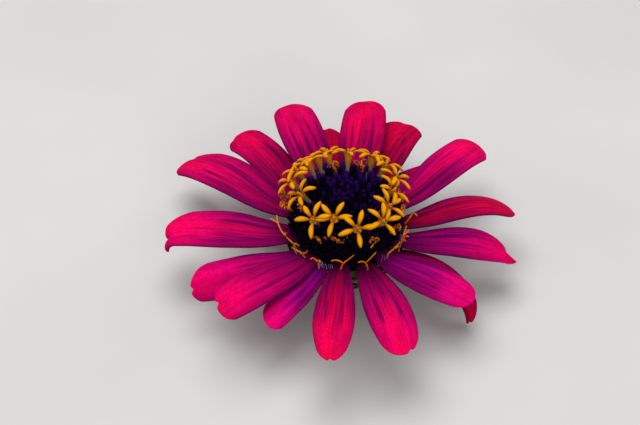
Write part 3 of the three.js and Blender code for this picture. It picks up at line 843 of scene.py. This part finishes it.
def bract(row, rank, seat):
    """One bract on the flank, its foot sunk in and its tip a little free."""
    def place(s, t):
        height = row["foot"] + row["reach"] * (t - 0.16 * s * s * t)
        wide = row["width"] / 2 * math.sin(math.pi * (0.2 + 0.62 * t)) ** 0.6
        radius = profile_at(CUP_FLANK[:-1], height) + 0.12 + 0.75 * t - 0.3 * s * s
        radius += 0.25 * smooth(t, 0.7, 1) - 0.05 * rank
        return around(radius, seat + math.degrees(s * wide / radius), height)

    piece = sheet("bract", 10, 12, place)
    piece.data.materials.append(BRACT)
    modify(piece, "SOLIDIFY", thickness=BRACT_THICKNESS, offset=-1)
    return piece


def cup():
    """The neck and the receptacle, with a cut underside and faint ribs up the neck."""
    steps = []
    for (r0, z0), (r1, z1) in zip(CUP_FLANK, CUP_FLANK[1:]):
        steps += [(r0 + (r1 - r0) * k / 3, z0 + (z1 - z0) * k / 3) for k in range(3)]
    piece = raised("cup", [*steps, CUP_FLANK[-1]], 64)
    piece.data.materials.append(STALK)
    piece.data.materials.append(PITH)
    activate(piece)
    bpy.ops.object.mode_set(mode="EDIT")
    bpy.ops.mesh.select_mode(type="FACE")
    bpy.ops.mesh.select_all(action="DESELECT")
    mesh = bmesh.from_edit_mesh(piece.data)
    for face in mesh.faces:
        face.select = face.normal.z < -0.9 and face.calc_center_median().z < 0.01
    bmesh.update_edit_mesh(piece.data)
    bpy.ops.mesh.inset(thickness=NECK_SKIN, depth=0)
    piece.active_material_index = 1
    bpy.ops.object.material_slot_assign()
    bpy.ops.object.mode_set(mode="OBJECT")
    for vertex in piece.data.vertices:
        rib = RIBS["height"] * math.cos(RIBS["count"] * math.atan2(vertex.co.y, vertex.co.x))
        rib *= 1 - smooth(vertex.co.z, NECK_HEIGHT, NECK_HEIGHT + RIBS["fade"])
        vertex.co.xy *= 1 + rib / max(1, vertex.co.xy.length)
    return piece


# %% [markdown]
# The bracts go round the cup row by row. Every other row starts half a bract further round,
# as tiles do.

# %% Make the cup
green = [cup()]
for rank, row in enumerate(BRACT_ROWS):
    for i in range(row["count"]):
        green.append(bract(row, rank, 360 / row["count"] * (i + rank % 2 / 2)))
settle(joined("bract_cup_leaves", green), "bract_green", "bract_cup")

# %% [markdown]
# ## The disc
# The dome is packed with chaff scales, one folded round each floret. They follow the spiral
# that every daisy head grows in: each scale stands 137.5 degrees on from the one before, a
# little further down. Two scales are modelled, each with a fringed tip, and copied: a young
# one with a violet inner face for the top, and an old one, dark with its own colour and with
# painted shade, for the flank and in between. Their feet are sunk, and more of them shows in a
# ring just inside the open florets.

# %% Dome and chaff
DISC_FLANK = (
    (9.5, 12.3), (9.5, 16.1), (10.6, 16.3), (10.8, 17), (10.5, 18.4), (9.8, 19.7), (8.7, 20.6),
    (7.4, 21.2), (5.8, 21.6), (4, 21.8), (2, 21.9),
)
GOLDEN_ANGLE = 137.508
SCALE_COUNT = 560
YOUNG_RADIUS = 9.8
SCALE_LENGTH = 3.4
SCALE_THICKNESS = 0.09
SCALE_SHOWING = 1.3
SCALE_RAISED = 1.7
SCALE_TEETH = (0.30, -0.10, 0.45, 0.0, 0.5, -0.05, 0.28)


def chaff_scale(inner):
    """A folded scale, up to 0.8 mm wide, with a fringe of uneven teeth."""
    def place(s, t):
        tooth = SCALE_TEETH[round((s + 1) * 3)] if t == 1 else 0
        wide = 0.38 * (0.6 + 0.5 * math.sin(math.pi * (0.15 + 0.6 * t)))
        return Vector((0.12 * t - 0.35 * abs(s) ** 1.5, s * wide, SCALE_LENGTH * t + tooth))

    piece = sheet("scale", 6, 3, place)
    piece.data.materials.append(inner)
    piece.data.materials.append(CHAFF)
    modify(piece, "SOLIDIFY", thickness=SCALE_THICKNESS, offset=0, material_offset=1)
    return piece


def dome_place(share):
    """The point and outward tilt at a share of the dome's skin, from its top to its brim."""
    rings = [(0.05, 21.95), *reversed(DISC_FLANK[2:])]
    areas = [
        (r0 + r1) / 2 * math.hypot(r1 - r0, z1 - z0) for (r0, z0), (r1, z1) in zip(rings, rings[1:])
    ]
    left = share * sum(areas)
    for area, (r0, z0), (r1, z1) in zip(areas, rings, rings[1:]):
        if left <= area:
            k = left / area
            return r0 + (r1 - r0) * k, z0 + (z1 - z0) * k, math.atan2(z0 - z1, r1 - r0)
        left -= area
    return (*rings[-1], math.pi / 2)


def chaff():
    young, old = chaff_scale(CHAFF_INNER), chaff_scale(CHAFF)
    scales = []
    for k in range(SCALE_COUNT):
        radius, height, fall = dome_place((k + 0.5) / SCALE_COUNT)
        angle = k * GOLDEN_ANGLE + chance.uniform(-3, 3)
        lean = math.radians(8) + 0.25 * fall + chance.uniform(-0.12, 0.12)
        out = around(1, angle, 0)
        axis = (UP * math.cos(lean) + out * math.sin(lean)).normalized()
        ringed = smooth(radius, 6, 8.4) * (1 - smooth(radius, 9.2, 10.2))
        showing = SCALE_SHOWING + SCALE_RAISED * ringed
        sunk = showing - SCALE_LENGTH + chance.uniform(-0.3, 0.3)
        foot = around(radius, angle, height) + axis * sunk
        inside = radius < YOUNG_RADIUS
        pattern = young if inside and chance.random() < 0.3 + radius / 20 else old
        size = Matrix.Scale(chance.uniform(0.85, 1.1), 4)
        scales.append(copy_of(pattern, standing(foot, axis, out) @ size))
    for pattern in (young, old):
        bpy.data.objects.remove(pattern)
    return scales


# %% [markdown]
# The dome under the scales is raised from a disc, with the bed's skin painted dark as the
# shade between the scales, and the scales are joined to it.

# %% Make the disc
dome = raised("dome", DISC_FLANK, 72)
dome.data.materials.append(CHAFF_BED_SHADE)
settle(joined("disc_chaff", [dome, *chaff()]), "disc_scales", "disc")

# %% [markdown]
# ## Open disc florets
# Each is a little trumpet: a tube that flares at the throat into five fleshy lobes, which
# arch outward and roll back, round a sheath of anthers. A lobe is a sheet shaped along an
# arc and thickened. Three are modelled, which rise and roll back more or less.

# %% Lobe
LOBE_LENGTH = 3.5
LOBE_HALF_WIDTH = 0.6
LOBE_THICKNESS = 0.3


def lobe(name, start, end):
    """A lobe whose slope runs from start to end degrees, laid along X from the throat."""
    def place(s, t):
        mean = math.radians(start + (end - start) * t / 2)
        slope = math.radians(start + (end - start) * t)
        wide = LOBE_HALF_WIDTH * (0.42 + 0.58 * math.sin(math.pi / 2 * min(1, t / 0.6)) ** 1.5)
        run = LOBE_LENGTH * t * (1 - 0.1 * smooth(t, 0.6, 1) * s * s)
        wide *= 1 - 0.32 * smooth(t, 0.7, 1)
        out = Vector((math.cos(mean), 0, math.sin(mean)))
        up = Vector((-math.sin(slope), 0, math.cos(slope)))
        return Vector((0.5, s * wide, 0)) + out * run - up * 0.24 * s * s

    piece = sheet(name, 6, 10, place)
    piece.data.materials.append(LOBE)
    modify(piece, "SOLIDIFY", thickness=LOBE_THICKNESS, offset=-1)
    modify(piece, "SUBSURF", levels=1, render_levels=1)
    return piece


# %% [markdown]
# The tube and the sheath are raised from a disc, and the lobes are copied five times round
# the throat, each turned a little its own way. The six florets nearest the camera have the
# angle of each lobe, as in the picture. On the others, `spin` turns all five.

# %% Tube, sheath and seats
TUBE_PROFILE = (
    (0.45, -5.8), (0.5, -3.4), (0.52, -2.2), (0.62, -1.2), (0.8, -0.5), (0.9, -0.1), (0.5, -0.35),
)
FLORET_LEAN = 35
SHEATH_PROFILE = ((0.26, -1), (0.3, 0.1), (0.26, 0.6), (0.16, 0.9), (0.06, 1.0))
FLORETS = (
    {"seat": -131, "radius": 9.8, "height": 24.6, "lobes": (31, 131, 193, 249, 300)},
    {"seat": -107, "radius": 8.2, "height": 25.4, "lobes": (357, 109, 162, 235, 287)},
    {"seat": -78, "radius": 10.1, "height": 24.6, "lobes": (359, 89, 155, 219, 280)},
    {"seat": -48, "radius": 10.5, "height": 24.6, "lobes": (6, 71, 142, 198, 266)},
    {"seat": -25, "radius": 9.2, "height": 24.8, "lobes": (5, 70, 143, 193, 285)},
    {"seat": 3, "radius": 9.3, "height": 24.8, "lobes": (337, 70, 133, 195, 265)},
    {"seat": 24, "radius": 10.8, "height": 24.6, "spin": 10},
    {"seat": 43, "radius": 11.0, "height": 25.2, "spin": 35},
    {"seat": 60, "radius": 10.9, "height": 25.4, "spin": 10},
    {"seat": 87, "radius": 10.3, "height": 25.6, "spin": 50},
    {"seat": 109, "radius": 10.9, "height": 25.6, "spin": 15},
    {"seat": 121, "radius": 10.8, "height": 25.3, "spin": 40},
    {"seat": 133, "radius": 11.0, "height": 25.3, "spin": 0},
    {"seat": 149, "radius": 11.2, "height": 25.2, "spin": 25},
    {"seat": 165, "radius": 11.2, "height": 25.0, "spin": 55},
    {"seat": 183, "radius": 9.0, "height": 24.6, "spin": 30},
)


# %% [markdown]
# Each floret is put together at its throat, leaning outward from the axis, and the sixteen
# are joined into one ring.

# %% Make the ring
def floret(habitus, patterns):
    out = around(1, habitus["seat"], 0)
    throat = around(habitus["radius"], habitus["seat"], habitus["height"])
    lean = math.radians(FLORET_LEAN + chance.uniform(-4, 4))
    stood = standing(throat, UP * math.cos(lean) + out * math.sin(lean), out)
    tube, sheath, lobes = patterns
    parts = [copy_of(tube, stood), copy_of(sheath, stood)]
    even = [habitus.get("spin", 0) + 72 * k + chance.uniform(-8, 8) for k in range(5)]
    for turn in habitus.get("lobes", even):
        size = Matrix.Scale(chance.uniform(0.92, 1.04), 4)
        own = Matrix.Rotation(math.radians(turn), 4, "Z") @ size
        parts.append(copy_of(chance.choice(lobes), stood @ own))
    return joined("floret", parts)


tube = raised("tube", TUBE_PROFILE, 14)
tube.data.materials.append(TUBE)
sheath = raised("sheath", SHEATH_PROFILE, 10)
sheath.data.materials.append(ANTHER)
lobes = [lobe("lobe", 56, -48), lobe("lobe", 46, -36), lobe("lobe", 64, -66)]
patterns = (tube, sheath, lobes)
ring = [floret(habitus, patterns) for habitus in FLORETS]
for pattern in (tube, sheath, *lobes):
    bpy.data.objects.remove(pattern)
settle(joined("open_floret_ring", ring), "open_floret", "open_florets")

# %% [markdown]
# ## Spent florets
# The lowest disc florets have opened, set and shrivelled. What is left of each is a stub and
# a tuft of rust-coloured threads that stand on the flank of the dome, each rolled over at its
# end. The stubs are sunk in the dome.

# %% Withered curls
SPENT = (  # the angle, distance and height of each
    (-121, 9.9, 19.7), (-100, 9.4, 20.1), (-61, 10.3, 19.1), (-25, 10.6, 18.8),
    (-7, 11.3, 20.7), (7, 10.8, 21.4), (34, 10.6, 18.6), (52, 10.7, 18.4),
    (68, 9.4, 22.6), (86, 10.7, 18.2), (103, 9.0, 22.6), (119, 10.7, 18.4),
    (147, 10.7, 18.5), (169, 12.4, 21.6), (177, 12.3, 20.4), (-163, 9.2, 22.2),
)
SPENT_ROOT = {"radius": 9, "inward": 1.6, "below": 2}
CURLS_EACH = 6
CURL_KNOTS = 7


def curl(centre, out, tall):
    """A thread that rises and rolls over to one side like a crook."""
    side = out.cross(UP).normalized()
    rise = (UP + out * chance.uniform(-0.3, 0.5) + side * chance.uniform(-0.8, 0.8)).normalized()
    roll = (side * chance.choice((-1, 1)) + out * chance.uniform(-0.4, 0.9)).normalized()
    hook = chance.uniform(0.35, 0.7)
    path = [(centre, 0.55), (centre + rise * tall / 2, 0.5)]
    for k in range(CURL_KNOTS):
        angle = math.pi * (1 - k / 4)
        bend = roll * hook * (1 + math.cos(angle)) + rise * hook * math.sin(angle)
        path.append((centre + rise * tall + bend, 0.46 - 0.04 * k))
    return path


def spent_floret(seat, radius, height):
    """The paths of a stub and its curls."""
    top = around(radius, seat, height)
    root = min(SPENT_ROOT["radius"], radius - SPENT_ROOT["inward"])
    foot = around(root, seat, height - SPENT_ROOT["below"])
    out = around(1, seat, 0)
    stub = [(foot, 0.8), ((foot + top) / 2, 0.7), (top, 0.5)]
    return [stub, *[curl(top, out, chance.uniform(0.4, 1.6)) for _ in range(CURLS_EACH)]]


withered = [path for place in SPENT for path in spent_floret(*place)]
piece = threads("withered_florets", withered, RUST)
piece.data.transform(Matrix.Translation(AXIS) @ Matrix.Scale(MM, 4))
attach(piece, "root")
print(piece.name, len(piece.data.polygons), "faces")

# %% [markdown]
# ## Pale hairs
# A few fine lavender hairs stand in tufts between the feet of the rays and the lowest scales.
# They are threads with four sides, which grow from the rim of the cup between the petals'
# claws. The tufts that the picture shows are set by their angle, and the others stand at
# random angles round the sides and back.

# %% Hairs
SEEN_TUFTS = (-153, -148, -142, -116, -111, -104, -52)
HIDDEN_TUFTS = 12
HAIRS_PER_TUFT = 5
HAIR_FOOT_RADIUS, HAIR_FOOT_HEIGHT = 10.3, 11.8
HAIR_SHOWS_AT = 15.2
HAIR_WIDTHS = (0.08, 0.08, 0.08, 0.04)

tufts = [*SEEN_TUFTS, *[chance.uniform(-20, 190) for _ in range(HIDDEN_TUFTS)]]
hairs = []
for seat in tufts:
    for _ in range(HAIRS_PER_TUFT):
        angle = seat + chance.uniform(-3, 3)
        root = around(chance.uniform(11.2, 12.0), angle, HAIR_SHOWS_AT)
        foot = around(HAIR_FOOT_RADIUS, angle, HAIR_FOOT_HEIGHT)
        lean = around(chance.uniform(-0.3, 0.7), angle + chance.uniform(-60, 60), 0)
        top = root + UP * chance.uniform(0.5, 1.1) + lean
        bend = around(chance.uniform(0, 0.3), chance.uniform(0, 360), 0)
        knots = (foot, root, (root + top) / 2 + bend, top)
        hairs.append(list(zip(knots, HAIR_WIDTHS)))
fuzz = threads("petal_foot_hairs", hairs, HAIR, roundness=0)
fuzz.data.transform(Matrix.Translation(AXIS) @ Matrix.Scale(MM, 4))
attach(fuzz, "root")
print(fuzz.name, len(fuzz.data.polygons), "faces")

# %% [markdown]
# ## Floor and light
# The bloom stands on a plain pale floor under large soft lamps, the brightest above it.

# %% Floor and lamps
LAMP_TARGET = (0, 0, 0.02)

bpy.ops.mesh.primitive_plane_add(size=4)
floor = added("floor")
floor.data.materials.append(mottled("pale_floor", "#C8C5C2", "#CECBC8", 60, 0.9, 0.1, 0.0))


def lamp(name, place, size, power, colour="#FFFFFF"):
    """A square soft lamp that faces the bloom."""
    bpy.ops.object.light_add(type="AREA", location=place)
    light = added(name)
    light.data.size = size
    light.data.energy = power
    light.data.color = linear(colour)[:3]
    beam = Vector(LAMP_TARGET) - Vector(place)
    light.rotation_euler = beam.to_track_quat("-Z", "Y").to_euler()


lamp("overhead_lamp", (-0.1, 0.12, 0.7), 0.6, 4.8)
lamp("front_lamp", (0.25, -0.6, 0.35), 0.5, 1.6)
world = bpy.data.worlds.new("studio")
world.use_nodes = True
world.node_tree.nodes["Background"].inputs[0].default_value = linear("#E8ECF4")
world.node_tree.nodes["Background"].inputs[1].default_value = 0.45
bpy.context.scene.world = world
bpy.context.scene.view_settings.view_transform = "Standard"
print(len(bpy.data.lights), "lamps and a floor")

# %% [markdown]
# ## Camera
# The camera looks down at 45 degrees from the -Y side, which the picture shows nearest. Its
# place is worked out from the pixel where the head's axis shows, at the height of the rays.

# %% Camera
IMAGE_WIDTH, IMAGE_HEIGHT = 640, 425
AXIS_PIXEL = (345.5, 229)
AXIS_HEIGHT = 14.5
DISTANCE = 356
LENS = 100
SENSOR = 36
ELEVATION = math.radians(45)

pixels_per_mm = IMAGE_WIDTH * LENS / SENSOR / DISTANCE
back = Vector((0, -math.cos(ELEVATION), math.sin(ELEVATION)))
upward = Vector((0, math.sin(ELEVATION), math.cos(ELEVATION)))
right = Vector((1, 0, 0))
aim = AXIS / MM + UP * AXIS_HEIGHT
eye = aim + back * DISTANCE
eye -= right * (AXIS_PIXEL[0] - IMAGE_WIDTH / 2) / pixels_per_mm
eye += upward * (AXIS_PIXEL[1] - IMAGE_HEIGHT / 2) / pixels_per_mm
bpy.ops.object.camera_add(location=eye * MM)
camera = added("camera")
camera.data.lens = LENS
camera.data.sensor_width = SENSOR
camera.data.clip_start = 0.01
camera.rotation_euler = (-back).to_track_quat("-Z", "Y").to_euler()
bpy.context.scene.camera = camera
print("camera at", [round(v, 1) for v in eye], "mm")
